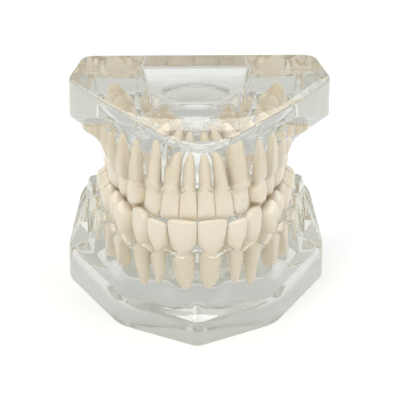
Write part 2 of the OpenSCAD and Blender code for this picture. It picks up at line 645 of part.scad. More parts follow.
if (shown("mandibular_left_lateral_incisor")) mandibular_left_lateral_incisor();
if (shown("mandibular_left_canine")) mandibular_left_canine();
if (shown("mandibular_left_first_premolar")) mandibular_left_first_premolar();
if (shown("mandibular_left_second_premolar")) mandibular_left_second_premolar();
if (shown("mandibular_left_first_molar")) mandibular_left_first_molar();
if (shown("mandibular_left_second_molar")) mandibular_left_second_molar();
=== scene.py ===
# A dental model: the 28 ivory teeth of two jaws, set in two clear resin bases.
# It stands upside down on the floor at z = 0: the maxillary base is underneath with its crowns up,
# the mandibular base on top with its crowns down. The incisors are at the front (-Y) and the
# teeth named right are at +X. Shapes are worked out in millimetres, the scene is in metres.
import math
from functools import partial, reduce

import bpy
import numpy as np
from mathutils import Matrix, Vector


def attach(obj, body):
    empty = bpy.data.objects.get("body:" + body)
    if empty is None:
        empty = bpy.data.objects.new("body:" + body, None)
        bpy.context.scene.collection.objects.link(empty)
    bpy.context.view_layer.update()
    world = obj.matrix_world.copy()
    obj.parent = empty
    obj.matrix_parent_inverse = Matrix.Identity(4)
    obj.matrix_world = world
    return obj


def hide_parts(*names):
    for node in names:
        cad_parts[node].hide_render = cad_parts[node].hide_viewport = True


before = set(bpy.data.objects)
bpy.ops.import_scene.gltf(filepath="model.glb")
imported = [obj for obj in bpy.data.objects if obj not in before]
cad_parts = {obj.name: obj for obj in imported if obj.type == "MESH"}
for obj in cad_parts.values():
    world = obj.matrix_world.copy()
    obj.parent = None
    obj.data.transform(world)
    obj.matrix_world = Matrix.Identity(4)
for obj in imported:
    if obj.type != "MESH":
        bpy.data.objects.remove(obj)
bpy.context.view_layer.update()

# ---------------------------------------------------------------- dimensions, millimetres
BASE_CELL = 0.5        # grid spacing of the skins
TOOTH_CELL = 0.27
TOTAL_H = 64.0
BACK_Y, SIDE_Y = 28.8, 12.6              # back face, and the widest place of the bases
FRONT_Y = -BACK_Y

# Pairs indexed by jaw hold the maxillary value first. Rows of seven run from the midline back.
UPPER, LOWER = JAWS = (0, 1)
JAW_NAMES = ("maxillary", "mandibular")
SIDE_Z = (1.0, -1.0)                     # direction of the crowns along Z
SIDES = (("right", 1), ("left", -1))
TEETH = range(7)
TOOTH_NAMES = ("central_incisor", "lateral_incisor", "canine", "first_premolar",
               "second_premolar", "first_molar", "second_molar")
INCISOR, CANINE, PREMOLAR, MOLAR = range(4)
KIND = (INCISOR, INCISOR, CANINE, PREMOLAR, PREMOLAR, MOLAR, MOLAR)

# heights of crown and root; widths along the arch and depths across it, at crown and neck
CROWN = ((10.3, 9.2, 10, 8.5, 8.1, 7.6, 7.1), (10, 10, 10.8, 8.8, 8.2, 7.6, 7.2))
ROOT = ((14, 13, 15.3, 13, 13, 12, 11.5), (10.5, 11.3, 13.5, 13, 13, 12.3, 12))
WIDTH = ((8.4, 6.5, 7.5, 7, 6.9, 10, 9.1), (5, 5.6, 7, 7, 7, 10.9, 10.2))
NECK_WIDTH = ((6.6, 5, 5.6, 5, 4.9, 7.8, 7.1), (3.7, 4.1, 5.3, 5, 5.1, 8.7, 8.2))
DEPTH = ((7, 6, 8, 9, 9, 11, 10.8), (5.9, 6.1, 7.5, 7.7, 8, 10.2, 9.8))
NECK_DEPTH = ((6.1, 5.2, 7.2, 8, 8, 9.8, 9.6), (5.2, 5.5, 6.8, 6.7, 7, 9, 8.8))
# height of the crown tips, lean outward in degrees, tilt along the arch in degrees
TIP_Z = ((37.8, 36.4, 37, 36.3, 35.6, 34.8, 33.7), (36.7, 36.4, 35.4, 34.7, 34.2, 33.6, 32.7))
LEAN = ((9, 9, 6, 3, 2, 1, 1), (19, 18, 12, 4, 0, -4, -5))
TILT = ((0, 2, 3, 2, 1.5, 1, 0.5), (0, 1, 3, 2.5, 2, 1, 0))
SOCKET_GAP, CONTACT_GAP = 0.10, 0.14

# heading of the arch line: length along it from the midline, degrees turned from +X
ARCH_STEP = 0.5
ARCH_Y0 = (-23.3, -21.3)
TURN = (((0, 0), (4.2, 11), (8.4, 23), (11.7, 34), (14.9, 45), (18.7, 57), (22.4, 67), (26, 74),
         (33, 79), (41.4, 81), (56, 83), (66, 83)),
        ((0, 0), (2.5, 5), (5, 13), (8, 27), (10.7, 38), (14.2, 52), (17.7, 62), (21.2, 69),
         (28, 76), (36, 80), (53.5, 83), (66, 83)))


# ---------------------------------------------------------------- small maths
def lookup(table, x):
    """Straight-line interpolation in a table."""
    table = np.asarray(table, float)
    return np.interp(x, table[:, 0], table[:, 1])


def curve(table, x):
    """Smooth curve through a table, without overshoot."""
    table = np.asarray(table, float)
    xs, ys = table[:, 0], table[:, 1]
    gap = np.diff(xs)
    rise = np.diff(ys) / gap
    slope = np.zeros(len(xs))
    slope[0], slope[-1] = rise[0], rise[-1]
    same = rise[:-1] * rise[1:] > 0
    weight1, weight2 = 2 * gap[1:] + gap[:-1], gap[1:] + 2 * gap[:-1]
    before, after = np.where(same, rise[:-1], 1), np.where(same, rise[1:], 1)
    slope[1:-1] = np.where(same, (weight1 + weight2) / (weight1 / before + weight2 / after), 0)
    x = np.clip(x, xs[0], xs[-1])
    k = np.clip(np.searchsorted(xs, x, "right") - 1, 0, len(gap) - 1)
    part = (x - xs[k]) / gap[k]
    return (ys[k] * (1 + 2 * part) * (1 - part) ** 2 + slope[k] * gap[k] * part * (1 - part) ** 2
            + ys[k + 1] * part * part * (3 - 2 * part)
            + slope[k + 1] * gap[k] * part * part * (part - 1))


def smooth_max(a, b, blend):
    near = np.maximum(blend - np.abs(a - b), 0) / blend
    return np.maximum(a, b) + near * near * blend * 0.25


def smooth_min(a, b, blend):
    return -smooth_max(-a, -b, blend)


def step(x, start, end):
    """Smooth rise from 0 to 1."""
    part = np.clip((x - start) / (end - start), 0, 1)
    return part * part * (3 - 2 * part)


def bump(x, width):
    return np.exp(-(x / width) ** 2)


# ---------------------------------------------------------------- the two arches
def walk(jaw):
    """Rows of length along the arch line, x and y."""
    x, y, rows = 0.0, ARCH_Y0[jaw], []
    for i in range(131):
        rows.append((i * ARCH_STEP, x, y))
        angle = math.radians(float(lookup(TURN[jaw], (i + 0.5) * ARCH_STEP)))
        x, y = x + ARCH_STEP * math.cos(angle), y + ARCH_STEP * math.sin(angle)
    return np.array(rows)


WALK = [walk(jaw) for jaw in JAWS]


def arch(jaw, along):
    lengths, xs, ys = WALK[jaw].T
    return np.interp(along, lengths, xs), np.interp(along, lengths, ys)


def station(jaw, tooth):
    """Length along the arch to the middle of a tooth."""
    widths = WIDTH[jaw]
    return sum(widths[:tooth]) + widths[tooth] / 2 + CONTACT_GAP * (tooth + 0.5)


ARCH_END = [station(jaw, 6) + WIDTH[jaw][6] / 2 for jaw in JAWS]


def tooth_frame(jaw, tooth):
    """Axes (distal, labial, occlusal) and neck point of a tooth on the +X side."""
    middle = station(jaw, tooth)
    angle = math.radians(float(lookup(TURN[jaw], middle)))
    along = np.array([math.cos(angle), math.sin(angle), 0])
    outward = np.array([math.sin(angle), -math.cos(angle), 0])
    vertical = np.array([0, 0, SIDE_Z[jaw]])
    lean, tilt = math.radians(LEAN[jaw][tooth]), math.radians(TILT[jaw][tooth])
    labial = outward * math.cos(lean) - vertical * math.sin(lean)
    upright = outward * math.sin(lean) + vertical * math.cos(lean)
    distal = along * math.cos(tilt) + upright * math.sin(tilt)
    occlusal = upright * math.cos(tilt) - along * math.sin(tilt)
    # the edge of a front tooth lies labial to its middle
    edge = NECK_DEPTH[jaw][tooth] / 2 - 1.7 if KIND[tooth] <= CANINE else 0
    x, y = arch(jaw, middle)
    origin = np.array([x, y, TIP_Z[jaw][tooth]]) - labial * edge - occlusal * CROWN[jaw][tooth]
    return np.array([distal, labial, occlusal]), origin


FRAMES = {(jaw, tooth): tooth_frame(jaw, tooth) for jaw in JAWS for tooth in TEETH}

# ---------------------------------------------------------------- a tooth, in its own frame
# Coordinates are distal, labial and high (above the neck). Shares of the crown height run from
# the neck to the tip, shares of the root length from the neck to the root's end.
ROOT_FADE = ((0, 1), (0.15, 0.965), (0.35, 0.89), (0.55, 0.78), (0.75, 0.62), (0.9, 0.43),
             (1, 0.22))
MOLAR_ROOT_FADE = ((0, 1.02), (0.1, 1), (0.4, 0.88), (0.66, 0.7), (0.86, 0.46), (1, 0.22))
# share of the crown height, share of the growth from neck to crown size
FLARE = ((0, 0), (0.1, 0.46), (0.22, 0.76), (0.4, 0.95), (0.6, 1), (0.82, 1.01), (0.94, 1.0),
         (1, 0.97))
FLARE_BACK = ((0, 0), (0.15, 0.4), (0.35, 0.8), (0.55, 1), (1, 1))
# share of the crown height, share of the depth: incisor, canine
THICK = (((0, 0.87), (0.12, 1), (0.3, 0.9), (0.5, 0.7), (0.7, 0.47), (0.86, 0.29), (0.96, 0.19),
          (1, 0.14)),
         ((0, 0.9), (0.12, 1), (0.3, 0.96), (0.5, 0.82), (0.7, 0.58), (0.86, 0.35), (0.96, 0.2),
          (1, 0.14)))
# share of the crown height, how far the labial face stands out from the neck
FACE = ((0, 0), (0.12, 0.25), (0.3, 0.35), (0.5, 0.2), (0.7, -0.2), (0.86, -0.65), (1, -1.3))
# cusps of each tooth: distal and labial place as shares of the half sizes, share of crown height
CUSPS = (((), (), (), ((0, 0.48, 1), (0, -0.5, 0.96)), ((0, 0.46, 1), (0, -0.48, 0.97)),
          ((-0.45, 0.5, 1), (0.42, 0.48, 0.97), (-0.38, -0.46, 0.99), (0.48, -0.46, 0.93)),
          ((-0.42, 0.48, 1), (0.42, 0.46, 0.96), (-0.34, -0.44, 0.98), (0.45, -0.44, 0.9))),
         ((), (), (), ((0, 0.34, 1), (-0.1, -0.5, 0.84)), ((0, 0.4, 1), (-0.25, -0.48, 0.95)),
          ((-0.55, 0.42, 0.98), (0.02, 0.45, 1), (0.55, 0.36, 0.95), (-0.42, -0.5, 1),
           (0.4, -0.5, 0.99)),
          ((-0.44, 0.44, 0.98), (0.42, 0.44, 0.97), (-0.42, -0.48, 1), (0.42, -0.48, 0.98))))
LINGUAL_TAPER = (0.3, 0.28, 0.14, 0.06)  # by kind
NECK_WAVE = (0.75, 0.7, 0.5, 0.3)        # rise and fall of the neck line, by kind
CROWN_PROUD = (0.17, 0.24)               # step from crown to root, by jaw
EDGE_WEAR = (0.45, -0.4)                 # of the incisors, by jaw


def sizes(jaw, tooth):
    """Crown and root heights, then half width and half depth at the neck and at the crown."""
    return (CROWN[jaw][tooth], ROOT[jaw][tooth], NECK_WIDTH[jaw][tooth] / 2,
            NECK_DEPTH[jaw][tooth] / 2, WIDTH[jaw][tooth] / 2, DEPTH[jaw][tooth] / 2)


def oval_f(distal, labial, half_w, half_d, middle, power, taper):
    """Distance from an oval section, narrower on its lingual side, and share of the way out."""
    labial_share = (labial - middle) / half_d
    bend = np.clip(labial_share, -1.2, 1.2) + 0.15
    tapered = half_w * (1 + taper * 0.58 * (bend - np.sqrt(bend * bend + 0.01)))
    distal_share, labial_share = np.abs(distal) / tapered, np.abs(labial_share)
    ratio = (distal_share ** power + labial_share ** power + 1e-9) ** (1 / power)
    far = np.sqrt(distal * distal + (labial - middle) ** 2 + 1e-9)
    return far - far / ratio, ratio


def neck_line(jaw, tooth, distal, labial):
    """Height of the neck line: high on the sides, low in front and behind."""
    across = distal / NECK_WIDTH[jaw][tooth] * 2
    deep = labial / NECK_DEPTH[jaw][tooth] * 2
    wave = (across * across - deep * deep) / (across * across + deep * deep + 0.05)
    return NECK_WAVE[KIND[tooth]] * wave + 0.1


def pits(jaw, tooth, distal, labial):
    """Depth share of the fissures between cusps, 0 to 1."""
    cusps = CUSPS[jaw][tooth]
    if not cusps:
        return np.zeros_like(distal)
    across, deep = distal / WIDTH[jaw][tooth] * 2, labial / DEPTH[jaw][tooth] * 2
    cones = np.stack([top * 3.2 - np.sqrt((across - a) ** 2 + (deep - b) ** 2 + 0.02) * 1.5
                      for a, b, top in cusps])
    cones = np.sort(cones, axis=0)
    rim = step(np.maximum(np.abs(across), np.abs(deep)), 0.66, 0.98)
    return bump(cones[-1] - cones[-2], 0.17) * (1 - rim)


def front_tooth_f(jaw, tooth, distal, labial, high):
    """Distance from an incisor or canine."""
    kind = KIND[tooth]
    crown, root, neck_w, neck_d, crown_w, crown_d = sizes(jaw, tooth)
    up, down = np.clip(high / crown, 0, 1), np.clip(-high / root, 0, 1)
    above = high >= 0
    half_w = neck_w + (crown_w - neck_w) * curve(FLARE, up)
    if kind == CANINE:
        half_w = half_w * np.where(up > 0.76, 1 - (up - 0.76) * 1.35, 1)
    half_d = crown_d * curve(THICK[kind], up)
    middle = neck_d + curve(FACE, up) - half_d
    fade = curve(ROOT_FADE, down)
    # the roots of the mandibular incisors stay broad to a blunt tip
    broad = fade ** 0.7 if jaw == LOWER and kind == INCISOR else fade
    # just below the neck the root takes over the depth of the crown
    near = step(high, -1.6, 0)
    root_d = neck_d * fade * (1 - near) + crown_d * THICK[kind][0][1] * near
    half_w = np.where(above, half_w, neck_w * broad)
    half_d = np.where(above, half_d, root_d)
    middle = np.where(above, middle, (neck_d - root_d) * near)
    dist, _ = oval_f(distal, labial, half_w, half_d, middle, 2 + 0.8 * up, LINGUAL_TAPER[kind])

    # two shallow grooves up the labial face, and the hollow of the lingual face
    front = step(labial - middle, -0.1, 0.5)
    offset = 0.24 * crown_w * 2
    grooves = (bump(distal - offset, 0.75) + bump(distal + offset, 0.75)) * step(up, 0.3, 0.6)
    dist = dist + 0.07 * grooves * front * (1 if kind == INCISOR else 0.5)
    dist = dist + 0.3 * (1 - front) * bump(distal, 0.5 * crown_w) * bump(up - 0.55, 0.2) * above

    if kind == INCISOR:
        # rounded corners, more so at the distal end
        across = distal / crown_w
        top = (crown * 0.985 - EDGE_WEAR[jaw] - 0.5 * step(across, 0.55, 1.1) ** 2
               - 0.15 * step(-across, 0.7, 1.1) ** 2)
        if jaw == LOWER:
            notch = 0.45 * crown_w
            top = top - (0.1 * bump(distal - notch, 0.35) + 0.1 * bump(distal + notch, 0.35))
    else:
        top = crown * 0.975 - (np.sqrt(distal * distal + 0.3) - 0.55) * 0.34
    dist = smooth_max(dist, high - top, 0.4)
    return smooth_max(dist, -high - root, 1.0)


def molar_roots_f(jaw, tooth, distal, labial, high):
    """Distance from the spreading roots of a molar: three in the maxilla, two in the mandible."""
    _, root, neck_w, neck_d, _, _ = sizes(jaw, tooth)
    # distal and labial place of each root, and its radius
    if jaw == UPPER:
        places = ((-0.47 * neck_w, 0.5 * neck_d, 0.44 * neck_w),
                  (0.47 * neck_w, 0.48 * neck_d, 0.42 * neck_w), (0, -0.44 * neck_d, 0.5 * neck_w))
    else:
        places = ((-0.5 * neck_w, 0, 0.42 * neck_w), (0.5 * neck_w, 0, 0.42 * neck_w))
    deepen = 1.0 if jaw == UPPER else 1.75
    fade = curve(MOLAR_ROOT_FADE, np.clip(-high / root, 0, 1))
    roots = []
    for a, b, radius in places:
        spread = 1 + radius * (1 - fade) * 0.75 / math.hypot(a, b)
        roots.append(oval_f(distal - a * spread, labial - b * spread,
                            radius * fade, radius * fade * deepen, 0, 2.0, 0)[0])
    dist = reduce(partial(smooth_min, blend=0.25), roots)
    dist = smooth_max(dist, -high - root, 1.0)
    return smooth_max(dist, high - 0.8, 0.5)


def back_tooth_f(jaw, tooth, distal, labial, high):
    """Distance from a premolar or molar."""
    kind = KIND[tooth]
    crown, root, neck_w, neck_d, crown_w, crown_d = sizes(jaw, tooth)
    up = np.clip(high / crown, 0, 1)
    above = high >= 0
    flare = curve(FLARE_BACK, up)
    half_w, half_d = neck_w + (crown_w - neck_w) * flare, neck_d + (crown_d - neck_d) * flare
    if kind == PREMOLAR:
        shrink, power = curve(ROOT_FADE, np.clip(-high / root, 0, 1)), 2.5
        cusp_width, fossa = 0.5, 0.7
    else:
        shrink, power = 1 - 0.028 * np.clip(-high, 0, 4), 2.8
        cusp_width, fossa = 0.4, 0.62
    half_w = np.where(above, half_w, neck_w * shrink)
    half_d = np.where(above, half_d, neck_d * shrink)
    dist, ratio = oval_f(distal, labial, half_w, half_d, 0, power, LINGUAL_TAPER[kind])
    if kind == PREMOLAR:
        # the flat sides of a premolar root carry a groove
        dist = dist + (0.28 * bump(labial, 0.16 * crown_d * 2) * step(-high, 1.5, 5)
                       * step(np.abs(distal), 0.2, 0.6))
        dist = smooth_max(dist, -high - root, 1.2)
    else:
        dist = smooth_max(dist, -high - 3.3, 1.6)
        dist = smooth_min(dist, molar_roots_f(jaw, tooth, distal, labial, high), 1.3)

    # the chewing surface: cusps over a fossa, falling off to the rim, cut by fissures
    ratio = np.clip(ratio, 0, 1.3)
    across, deep = distal / crown_w, labial / crown_d
    hills = [fossa + (top - fossa) * np.exp(-((across - a) ** 2 + (deep - b) ** 2)
                                            / cusp_width / cusp_width)
             for a, b, top in CUSPS[jaw][tooth]]
    top = reduce(partial(smooth_max, blend=0.04), hills)
    top = (crown * np.minimum(1 - 0.4 * ratio ** 6, top - 0.008)
           - 0.48 * pits(jaw, tooth, distal, labial))
    dist = smooth_max(dist, (high - top) * 0.82, 0.7)

    # grooves down the labial and lingual faces of molars, a slight swelling on premolars
    side = step(np.abs(labial), 0.55 * crown_d, 0.8 * crown_d) * step(up, 0.42, 0.75)
    if kind == PREMOLAR:
        return dist - 0.05 * bump(distal, 0.9) * side
    for place in ((0,) if jaw == UPPER or tooth == 6 else (-0.27, 0.3)):
        dist = dist + 0.28 * bump(distal - place * crown_w, 0.5) * side
    return dist


def tooth_f(jaw, tooth, distal, labial, high):
    """Signed distance from a tooth, roughly, negative inside."""
    shape = front_tooth_f if KIND[tooth] <= CANINE else back_tooth_f
    dist = shape(jaw, tooth, distal, labial, high)
    # the crown stands a little proud of the root along the neck line
    line = neck_line(jaw, tooth, distal, labial)
    return dist + CROWN_PROUD[jaw] * (1 - step(high - line, -0.3, 0.25))


# ---------------------------------------------------------------- plan of the arches
GRID = 0.25
ARCH_STRAIGHT = 64                       # length after which the arch line runs straight


def arch_field(jaw):
    """Distance out from the arch line, and length along it, on a plan grid for x >= 0."""
    along = np.arange(0, 100, 0.1)
    end = math.radians(TURN[jaw][-1][1])
    far = along > ARCH_STRAIGHT
    x, y = arch(jaw, along)
    end_x, end_y = arch(jaw, ARCH_STRAIGHT)
    x[far] = end_x + (along[far] - ARCH_STRAIGHT) * math.cos(end)
    y[far] = end_y + (along[far] - ARCH_STRAIGHT) * math.sin(end)
    kernel = np.exp(-(np.arange(-15, 16) / 7.0) ** 2)
    kernel /= kernel.sum()

    def smoothed(line, mirror):
        """Smooth one coordinate, mirrored past the midline and carried on past the far end."""
        tail = line[-1] + (line[-1] - line[-2]) * np.arange(1, 16)
        return np.convolve(np.concatenate([mirror * line[15:0:-1], line, tail]), kernel, "valid")

    x, y = smoothed(x, -1), smoothed(y, 1)
    along_x, along_y = np.gradient(x), np.gradient(y)
    size = np.hypot(along_x, along_y)
    along_x, along_y = along_x / size, along_y / size
    grid_x, grid_y = np.arange(-1, 50, GRID), np.arange(-40, 60, GRID)
    plan_x, plan_y = np.meshgrid(grid_x, grid_y, indexing="ij")
    out, length = np.empty_like(plan_x), np.empty_like(plan_x)
    rows = np.arange(len(grid_y))
    for i in range(len(grid_x)):
        to_x, to_y = plan_x[i][:, None] - x, plan_y[i][:, None] - y
        near = (to_x * to_x + to_y * to_y).argmin(1)
        to_x, to_y = to_x[rows, near], to_y[rows, near]
        out[i] = to_x * along_y[near] - to_y * along_x[near]
        length[i] = along[near] + (to_x * along_x[near] + to_y * along_y[near])
    return grid_x, grid_y, out, length


FIELDS = [arch_field(jaw) for jaw in JAWS]


def plan(jaw, x, y):
    """Distance out from the arch line and length along it, for any points."""
    grid_x, grid_y, out, length = FIELDS[jaw]
    a = np.clip((np.abs(x) - grid_x[0]) / GRID, 0, len(grid_x) - 1.001)
    b = np.clip((y - grid_y[0]) / GRID, 0, len(grid_y) - 1.001)
    i, k = a.astype(int), b.astype(int)
    p, q = a - i, b - k

    def mix(field):
        return ((field[i, k] * (1 - p) + field[i + 1, k] * p) * (1 - q)
                + (field[i, k + 1] * (1 - p) + field[i + 1, k + 1] * p) * q)

    return mix(out), np.maximum(mix(length), 0)


# ---------------------------------------------------------------- the clear bases
# corners of the plan outline on the +X side (x, y), and the rounding where each edge joins
HALF_W, BACK_HALF_W = 37.75, 33.4
OUTLINE = (((0, -29.1), (22.4, -16.4), (HALF_W, SIDE_Y), (BACK_HALF_W, BACK_Y)),
           ((0, -31.2), (22, -9.8), (HALF_W, SIDE_Y), (BACK_HALF_W, BACK_Y)))
ROUNDING = ((1.6, 1.7, 2.3, 3.2), (8.3, 4.0, 2.3, 3.2))
SHIFT_X = (0.0, 1.0)
CENTRE_Y = 8.0
# y, height of a base above its flat face: at the outline, then inward of the sloping ledge
RIM_H = (((FRONT_Y, 7.5), (-16.4, 7.2), (0, 7.6), (SIDE_Y, 8.7), (BACK_Y, 21.7)),
         ((FRONT_Y, 2.8), (-14, 3.0), (-1.5, 5.4), (SIDE_Y, 11.4), (BACK_Y, 14)))
INNER_H = (((FRONT_Y, 12.3), (-21.7, 12.8), (-14, 14.8), (0, 16.2), (SIDE_Y, 18), (BACK_Y, 24.2)),
           ((FRONT_Y, 3.5), (-14, 4.3), (0, 9.5), (SIDE_Y, 16.5), (BACK_Y, 19.5)))
# y, width of the ledge as a share of the way in to the centre
LEDGE = (((FRONT_Y, 0.2), (-16.4, 0.1), (BACK_Y, 0.1)), ((FRONT_Y, 0.18), (BACK_Y, 0.18)))
LEDGE_SPAN = 32
# x, y of the arc along which the front of the mandibular flat face is bevelled
BEVEL_ARC = ((0, -13.6), (11, -12.9), (18.7, -9.4), (24, -4.5), (28.9, 2.6), (33, 8.4),
             (38, 14.5), (60, 40))
BEVEL_DEPTH, BEVEL_REACH = 0.72, 5.6

# The ridge round the roots: share of its height, offset out from the arch line.
# Each jaw has the front and the back section.
RIDGE_OUT = ((((0, 0.7), (0.3, 0.9), (0.6, 1.3), (0.93, 1.4), (1, 0.6)),
              ((0, 12), (0.3, 9), (0.6, 7.6), (0.93, 6.5), (1, 5.6))),
             (((0, 1.5), (0.3, 1.2), (0.6, 1.2), (0.93, 1.2), (1, 0.6)),
              ((0, 12), (0.3, 8.4), (0.6, 7), (0.93, 5.9), (1, 5))))
RIDGE_IN = ((((0, -12), (0.5, -7.8), (0.88, -6.2), (1, -4.8)),
             ((0, -12), (0.5, -7.8), (0.88, -6.7), (1, -5.6))),
            (((0, -14), (0.5, -10), (0.88, -8.6), (1, -7.4)),
             ((0, -12), (0.5, -7.6), (0.88, -6.6), (1, -5.4))))
RIDGE_BLEND = (1.2, 1.45)                # power of the change from front to back section
# length along the arch, z of the ridge's foot
RIDGE_FOOT = (((0, 12), (14, 12), (70, 12)),
              ((0, 61.2), (14, 61), (18, 60.6), (22, 59.4), (24, 58.6), (28, 56.6), (34, 53.6),
               (40, 51), (48, 49.8), (70, 49.5)))
RIDGE_DIP = (1.3, 0)                     # extra reach of the foot by the canines
END_SLOPE, END_START = (0.12, 0.72), (0, 0.8)    # fall of the gum margin behind the last molar
ROOT_SWELL = (0.3, 0.08)                 # how far the outer face follows the roots
# length along the arch, size of the scallops of the gum margin
SCALLOPS = [((0, front), (12, second), (24, 0.6), (40, 0.45), (end, 0.35), (end + 3, 0))
            for front, second, end in zip((1.05, 0.75), (1.0, 0.7), ARCH_END)]

# z, scale of the maxillary hollow in plan about VAULT_Y
VAULT = ((15.5, 0.42), (16.3, 0.52), (18.0, 0.66), (20, 0.77), (24, 0.91), (30, 1.0), (40, 1.06))
VAULT_Y = 12
# length along the arch, offset in from the arch line of the mandibular hollow
HOLLOW_IN = ((0, 8.8), (14, 8), (30, 6.4), (60, 6.0))


def outline_edges(jaw):
    """Outward normal (x, y) and offset of each +X edge of the outline, then of the back."""
    edges = []
    for (x0, y0), (x1, y1) in zip(OUTLINE[jaw][:-1], OUTLINE[jaw][1:]):
        normal = np.array([y1 - y0, -(x1 - x0)])
        normal = normal / np.hypot(*normal)
        edges.append((normal[0], normal[1], normal[0] * x0 + normal[1] * y0))
    return edges + [(0.0, 1.0, BACK_Y)]


EDGES = [outline_edges(jaw) for jaw in JAWS]


def outline_f(jaw, x, y):
    """Distance from the plan outline, and how far out a point lies as a share of it."""
    x = x - SHIFT_X[jaw]
    sides, ratios, blends = [], [], []
    for (out_x, out_y, offset), rounding in zip(EDGES[jaw], ROUNDING[jaw]):
        for _, mirror in SIDES:
            sides.append(out_x * x * mirror + out_y * y - offset)
            ratios.append((out_x * x * mirror + out_y * (y - CENTRE_Y))
                          / (offset - out_y * CENTRE_Y))
            blends.append(rounding)
    dist = sides[0]
    # the last side is the back edge again
    for side, blend in zip(sides[1:-1], blends[1:-1]):
        dist = smooth_max(dist, side, blend)
    return dist, reduce(partial(smooth_max, blend=0.03), ratios)


def scallop(jaw, along):
    """Cosine, 1 at the middle of a tooth and -1 between teeth, and size of the scallops."""
    wave = -np.ones_like(along)
    for tooth in TEETH:
        middle, half = station(jaw, tooth), WIDTH[jaw][tooth] / 2 + CONTACT_GAP / 2
        wave = np.where(np.abs(along - middle) <= half,
                        np.cos((along - middle) / half * np.pi), wave)
    return wave, lookup(SCALLOPS[jaw], along)


def ridge_f(jaw, out, along, z):
    """Distance from the ridge that holds the roots."""
    end = ARCH_END[jaw]
    blend = np.clip(along / 34, 0, 1) ** RIDGE_BLEND[jaw]
    part = np.clip(along / end, 0, 1)
    if jaw == UPPER:
        margin = 28.3 + (26.2 - 28.3) * part
    else:
        margin = TOTAL_H - 18.2 - (24.6 - 18.2) * part ** 0.8
    margin = margin - SIDE_Z[jaw] * END_SLOPE[jaw] * np.maximum(0, along - end - END_START[jaw])
    wave, size = scallop(jaw, along)
    margin = margin - SIDE_Z[jaw] * size * (wave + 0.15)
    foot = curve(RIDGE_FOOT[jaw], along)
    share = np.clip((z - foot) / (margin - foot), 0, 1)

    def offset(sections):
        front, back = sections[jaw]
        return curve(front, share) * (1 - blend) + curve(back, share) * blend

    outer = offset(RIDGE_OUT) + ROOT_SWELL[jaw] * wave * bump(share - 0.6, 0.3) * (along < end)
    dist = smooth_max(out - outer, offset(RIDGE_IN) - out, 0.8)
    dist = smooth_max(dist, (z - margin) * SIDE_Z[jaw], 0.9)
    below = (foot - z) * SIDE_Z[jaw] - 1.5 - RIDGE_DIP[jaw] * bump(along - 18, 3.5)
    return smooth_max(dist, below, 0.5)


def hollow_f(jaw, x, y, z):
    """Distance from the hollow inside the arch."""
    if jaw == UPPER:
        scale = curve(VAULT, z)
        out, _ = plan(jaw, x / scale, VAULT_Y + (y - VAULT_Y) / scale)
        return smooth_max((out + 6.2) * scale, VAULT[0][0] - z, 1.6)
    # a D-shaped plateau open at the back, with an oval dimple, and a slope behind the incisors
    out, along = plan(jaw, x, y)
    plateau = (np.abs(x) / 16.5) ** 1.75 + (np.maximum(BACK_Y - y, 0) / 27.0) ** 1.75
    plateau = (plateau + 1e-6) ** (1 / 1.75)
    dimple = np.sqrt((x / 9.6) ** 2 + ((y - 12.4) / 6.7) ** 2 + 1e-6)
    roof = (52.6 + 4.4 * np.clip(1.02 - dimple ** 2.2, 0, 1) + 0.02 * (y - 12)
            - np.maximum(plateau - 1, 0) * 16.0 - 0.5 * step(plateau, 0.97, 1.03))
    inset = curve(HOLLOW_IN, along) + 0.1 * (z - 44)
    return smooth_max((z - roof) * 0.9, out + inset, 1.4)


def near_teeth(jaw, x, y, z, reach):
    """Yield, for each tooth, a mask of the points by it and their distances from it."""
    for tooth in TEETH:
        axes, origin = FRAMES[jaw, tooth]
        reach_w, reach_d = reach[tooth]
        for _, mirror in SIDES:
            points = np.stack([x * mirror - origin[0], y - origin[1], z - origin[2]])
            distal, labial, high = np.tensordot(axes, points, 1)
            near = ((np.abs(distal) < reach_w) & (np.abs(labial) < reach_d)
                    & (high > -ROOT[jaw][tooth] - 1.2) & (high < CROWN[jaw][tooth] + 1))
            if near.any():
                yield near, tooth_f(jaw, tooth, distal[near], labial[near], high[near])


def base_f(jaw, x, y, z):
    """Signed distance from a base, roughly, negative inside."""
    out, along = plan(jaw, x, y)
    outline, share_out = outline_f(jaw, x, y)
    rim, inner, ledge = (lookup(table[jaw], y) for table in (RIM_H, INNER_H, LEDGE))
    share_in = np.clip((1 - share_out) / ledge, -0.5, 1)
    height = z if jaw == UPPER else TOTAL_H - z
    top = rim + (inner - rim) * share_in
    slope = (inner - rim) / (ledge * LEDGE_SPAN)
    block = smooth_max(outline, (height - top) / np.sqrt(1 + slope ** 2), 0.6)
    bevel = 0
    if jaw == LOWER:
        bevel = BEVEL_DEPTH * np.clip((curve(BEVEL_ARC, np.abs(x)) - y) / BEVEL_REACH, 0, 1)
    block = smooth_max(block, bevel - height, 0.8)
    ridge = smooth_max(ridge_f(jaw, out, along, z), outline + 0.15, 0.6)
    dist = smooth_min(block, ridge, 0.5)
    dist = smooth_max(dist, outline, 0.3)
    dist = smooth_max(dist, -hollow_f(jaw, x, y, z), 1.0)
    reach = [(w / 2 + 1.2, d / 2 + 1.6) for w, d in zip(WIDTH[jaw], DEPTH[jaw])]
    for near, tooth_dist in near_teeth(jaw, x, y, z, reach):
        dist[near] = smooth_max(dist[near], SOCKET_GAP - tooth_dist, 0.3)
    return dist


def in_socket(jaw, x, y, z):
    """Whether each point lies on the wall of a socket."""
    found = np.zeros(len(x), bool)
    for near, tooth_dist in near_teeth(jaw, x, y, z, [(8, 8)] * len(TEETH)):
        found[near] |= tooth_dist < SOCKET_GAP + 0.5
    return found


# ---------------------------------------------------------------- skin of a distance field
def gradient(field, points):
    shift = 0.02

    def moved(axis, by):
        return field(*(points[:, k] + by * (k == axis) for k in range(3)))

    return np.stack([moved(axis, shift) - moved(axis, -shift) for axis in range(3)],
                    1) / (2 * shift)


